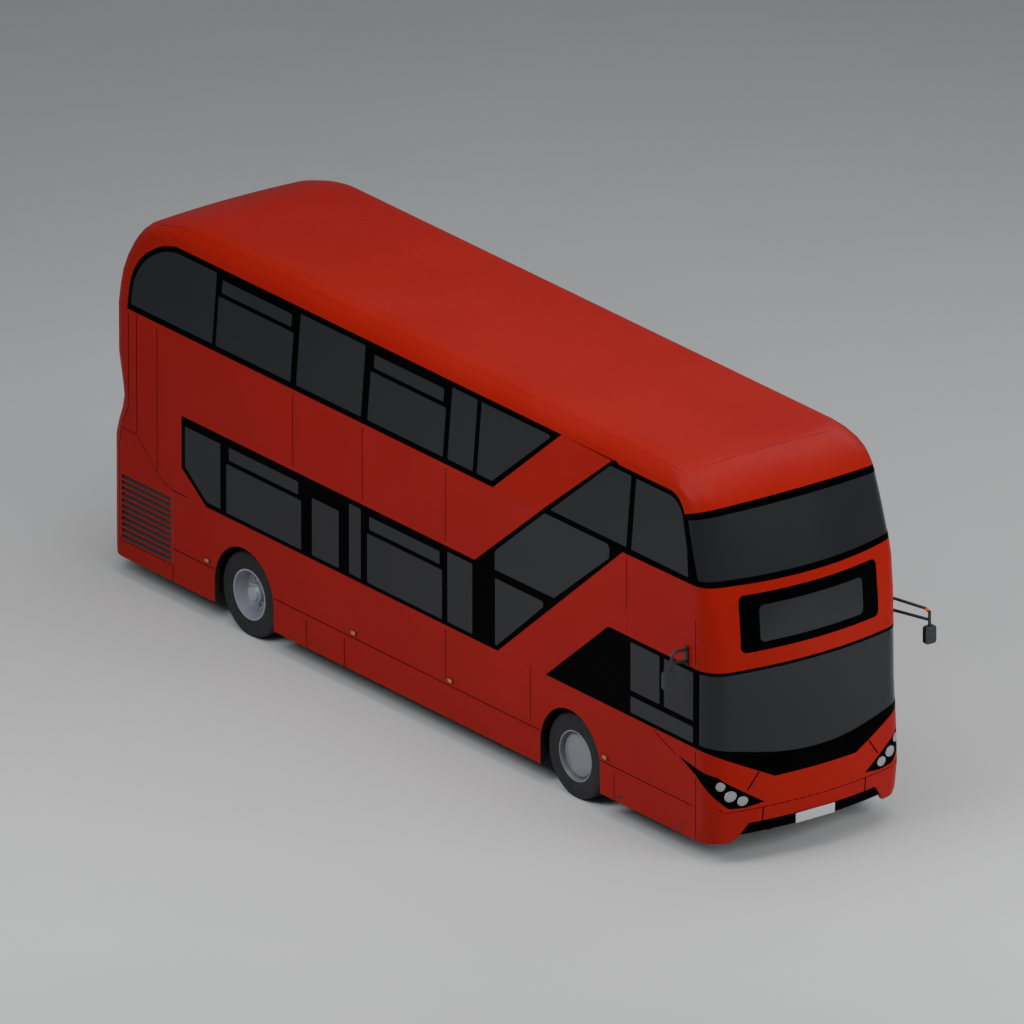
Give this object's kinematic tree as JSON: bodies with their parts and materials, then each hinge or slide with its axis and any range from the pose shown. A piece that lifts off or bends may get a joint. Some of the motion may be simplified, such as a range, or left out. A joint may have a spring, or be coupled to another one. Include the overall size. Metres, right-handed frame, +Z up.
{
  "type": "double decker bus",
  "caption": "Low-floor two-door double-decker city bus with steered front wheels, twin rear wheels, glider doors, stairs, seats, engine lid and side flaps.",
  "frame": {"origin": "on the ground under the middle of the whole part's box", "axes": "+X nearside (the bus's own left), -Y forward, +Z up"},
  "size_m": [3.2, 10.9142, 4.2999],
  "materials": {
    "red_paint": "gloss",
    "black_gloss": "gloss",
    "tinted_glass": "gloss",
    "lamp_lens": "gloss",
    "floor_covering": "matte",
    "grey_moulding": "matte",
    "chassis_steel": "satin",
    "seat_fabric": "matte",
    "rail_paint": "gloss",
    "wheel_paint": "satin",
    "tyre_rubber": "matte"
  },
  "bodies": {
    "bus_body": {"chassis_frame": "chassis_steel", "lower_floor": "floor_covering", "wheel_boxes": "grey_moulding", "upper_floor": "floor_covering", "staircase": "floor_covering", "lower_side_panels": "red_paint", "upper_side_panels": "red_paint", "roof": "red_paint", "front_panels": "red_paint", "rear_panels": "red_paint", "window_frames": "black_gloss", "side_windows": "tinted_glass", "windscreens": "tinted_glass", "lamps": "lamp_lens", "black_trim": "black_gloss", "lower_seats": "seat_fabric", "upper_seats": "seat_fabric", "handrails": "rail_paint", "driver_cab": "grey_moulding", "driver_seat": "seat_fabric", "dashboard": "grey_moulding", "traction_battery": "chassis_steel", "front_axle": "chassis_steel", "rear_axle": "chassis_steel", "mirrors": "black_gloss", "hinge_pins": "chassis_steel"},
    "offside_knuckle": {"offside_knuckle": "chassis_steel"},
    "offside_front_wheel": {"offside_front_rim": "wheel_paint", "offside_front_tyre": "tyre_rubber"},
    "offside_rear_wheels": {"offside_rear_rims": "wheel_paint", "offside_rear_tyres": "tyre_rubber"},
    "nearside_knuckle": {"nearside_knuckle": "chassis_steel"},
    "nearside_front_wheel": {"nearside_front_rim": "wheel_paint", "nearside_front_tyre": "tyre_rubber"},
    "nearside_rear_wheels": {"nearside_rear_rims": "wheel_paint", "nearside_rear_tyres": "tyre_rubber"},
    "engine_lid": {"engine_lid": "red_paint"},
    "offside_rear_flap": {"offside_rear_flap": "red_paint"},
    "nearside_rear_flap": {"nearside_rear_flap": "red_paint"},
    "front_door_front_post": {"front_door_front_post": "rail_paint"},
    "front_door_front_leaf": {"front_door_front_leaf": "black_gloss"},
    "front_door_rear_post": {"front_door_rear_post": "rail_paint"},
    "front_door_rear_leaf": {"front_door_rear_leaf": "black_gloss"},
    "exit_door_front_post": {"exit_door_front_post": "rail_paint"},
    "exit_door_front_leaf": {"exit_door_front_leaf": "black_gloss"},
    "exit_door_rear_post": {"exit_door_rear_post": "rail_paint"},
    "exit_door_rear_leaf": {"exit_door_rear_leaf": "black_gloss"}
  },
  "joints": [
    {"name": "offside_steering", "type": "hinge", "parent": "bus_body", "child": "offside_knuckle", "pos_m": [-0.9285, -2.82, 0.4785], "axis": [0, 0, 1], "range_deg": [-38, 38]},
    {"name": "offside_front_wheel_spin", "type": "hinge", "parent": "offside_knuckle", "child": "offside_front_wheel", "pos_m": [-1.0785, -2.82, 0.4785], "axis": [1, 0, 0], "continuous": true},
    {"name": "offside_rear_wheels_spin", "type": "hinge", "parent": "bus_body", "child": "offside_rear_wheels", "pos_m": [-1.0785, 2.93, 0.4785], "axis": [1, 0, 0], "continuous": true},
    {"name": "nearside_steering", "type": "hinge", "parent": "bus_body", "child": "nearside_knuckle", "pos_m": [0.9285, -2.82, 0.4785], "axis": [0, 0, 1], "range_deg": [-38, 38]},
    {"name": "nearside_front_wheel_spin", "type": "hinge", "parent": "nearside_knuckle", "child": "nearside_front_wheel", "pos_m": [1.0785, -2.82, 0.4785], "axis": [1, 0, 0], "continuous": true},
    {"name": "nearside_rear_wheels_spin", "type": "hinge", "parent": "bus_body", "child": "nearside_rear_wheels", "pos_m": [1.0785, 2.93, 0.4785], "axis": [1, 0, 0], "continuous": true},
    {"name": "engine_lid_hinge", "type": "hinge", "parent": "bus_body", "child": "engine_lid", "pos_m": [0, 5.4505, 1.556], "axis": [1, 0, 0], "range_deg": [0, 85]},
    {"name": "offside_rear_flap_hinge", "type": "hinge", "parent": "bus_body", "child": "offside_rear_flap", "pos_m": [-1.275, 4.198, 0.85], "axis": [0, 0, 1], "range_deg": [0, 100]},
    {"name": "nearside_rear_flap_hinge", "type": "hinge", "parent": "bus_body", "child": "nearside_rear_flap", "pos_m": [1.275, 4.198, 0.85], "axis": [0, 0, -1], "range_deg": [0, 100]},
    {"name": "front_door_front_post_turn", "type": "hinge", "parent": "bus_body", "child": "front_door_front_post", "pos_m": [1.185, -4.9, 0.4], "axis": [0, 0, 1], "range_deg": [0, 88]},
    {"name": "front_door_front_leaf_turn", "type": "hinge", "parent": "front_door_front_post", "child": "front_door_front_leaf", "pos_m": [1.185, -4.551, 0.38], "axis": [0, 0, 1], "range_deg": [-176, 0]},
    {"name": "front_door_rear_post_turn", "type": "hinge", "parent": "bus_body", "child": "front_door_rear_post", "pos_m": [1.185, -3.6, 0.4], "axis": [0, 0, -1], "range_deg": [0, 88]},
    {"name": "front_door_rear_leaf_turn", "type": "hinge", "parent": "front_door_rear_post", "child": "front_door_rear_leaf", "pos_m": [1.185, -3.949, 0.38], "axis": [0, 0, -1], "range_deg": [-176, 0]},
    {"name": "exit_door_front_post_turn", "type": "hinge", "parent": "bus_body", "child": "exit_door_front_post", "pos_m": [1.185, -0.56, 0.4], "axis": [0, 0, 1], "range_deg": [0, 88]},
    {"name": "exit_door_front_leaf_turn", "type": "hinge", "parent": "exit_door_front_post", "child": "exit_door_front_leaf", "pos_m": [1.185, -0.211, 0.38], "axis": [0, 0, 1], "range_deg": [-176, 0]},
    {"name": "exit_door_rear_post_turn", "type": "hinge", "parent": "bus_body", "child": "exit_door_rear_post", "pos_m": [1.185, 0.74, 0.4], "axis": [0, 0, -1], "range_deg": [0, 88]},
    {"name": "exit_door_rear_leaf_turn", "type": "hinge", "parent": "exit_door_rear_post", "child": "exit_door_rear_leaf", "pos_m": [1.185, 0.391, 0.38], "axis": [0, 0, -1], "range_deg": [-176, 0]}
  ],
  "couplings": [
    {"joint": "nearside_steering", "follows": "offside_steering", "ratio": 1},
    {"joint": "front_door_front_leaf_turn", "follows": "front_door_front_post_turn", "ratio": -2},
    {"joint": "front_door_rear_post_turn", "follows": "front_door_front_post_turn", "ratio": 1},
    {"joint": "front_door_rear_leaf_turn", "follows": "front_door_front_post_turn", "ratio": -2},
    {"joint": "exit_door_front_leaf_turn", "follows": "exit_door_front_post_turn", "ratio": -2},
    {"joint": "exit_door_rear_post_turn", "follows": "exit_door_front_post_turn", "ratio": 1},
    {"joint": "exit_door_rear_leaf_turn", "follows": "exit_door_front_post_turn", "ratio": -2}
  ]
}
